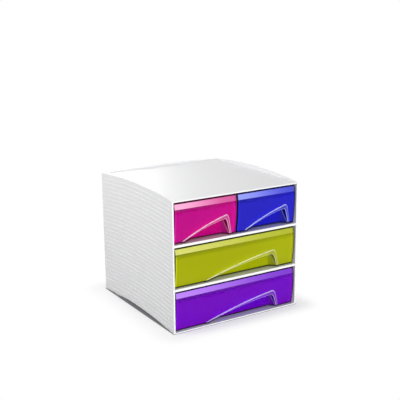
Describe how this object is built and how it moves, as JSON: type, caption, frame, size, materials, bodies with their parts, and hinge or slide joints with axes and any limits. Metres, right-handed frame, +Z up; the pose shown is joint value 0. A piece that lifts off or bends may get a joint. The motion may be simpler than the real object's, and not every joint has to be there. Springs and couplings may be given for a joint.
{
  "type": "plastic drawer tower",
  "caption": "Desk-top drawer tower in white plastic with transparent coloured drawers, each pulled by a finger scoop under a slanting ridge, and a rimmed tray on top.",
  "frame": {"origin": "bottom centre of the casing, at the level it stands on", "axes": "+X to the right seen from the front, +Y from the drawer fronts to the back, +Z up"},
  "size_m": [0.1854, 0.1918, 0.1705],
  "materials": {
    "white_plastic": "white moulded plastic, satin",
    "purple_plastic": "transparent purple plastic, glossy",
    "lime_plastic": "transparent yellow-green plastic, glossy",
    "pink_plastic": "transparent pink plastic, glossy",
    "blue_plastic": "transparent blue plastic, glossy"
  },
  "bodies": {
    "casing": {"left_side_panel": "white_plastic", "right_side_panel": "white_plastic", "rear_panel": "white_plastic", "base_panel": "white_plastic", "lower_shelf": "white_plastic", "upper_shelf": "white_plastic", "top_panel": "white_plastic", "centre_divider": "white_plastic"},
    "bottom_drawer_body": {"bottom_drawer": "purple_plastic"},
    "middle_drawer_body": {"middle_drawer": "lime_plastic"},
    "top_left_drawer_body": {"top_left_drawer": "pink_plastic"},
    "top_right_drawer_body": {"top_right_drawer": "blue_plastic"}
  },
  "joints": [
    {"name": "bottom_drawer_slide", "type": "slide", "parent": "casing", "child": "bottom_drawer_body", "axis": [0, -1, 0], "range_m": [0, 0.1527]},
    {"name": "middle_drawer_slide", "type": "slide", "parent": "casing", "child": "middle_drawer_body", "axis": [0, -1, 0], "range_m": [0, 0.1527]},
    {"name": "top_left_drawer_slide", "type": "slide", "parent": "casing", "child": "top_left_drawer_body", "axis": [0, -1, 0], "range_m": [0, 0.1527]},
    {"name": "top_right_drawer_slide", "type": "slide", "parent": "casing", "child": "top_right_drawer_body", "axis": [0, -1, 0], "range_m": [0, 0.1527]}
  ]
}
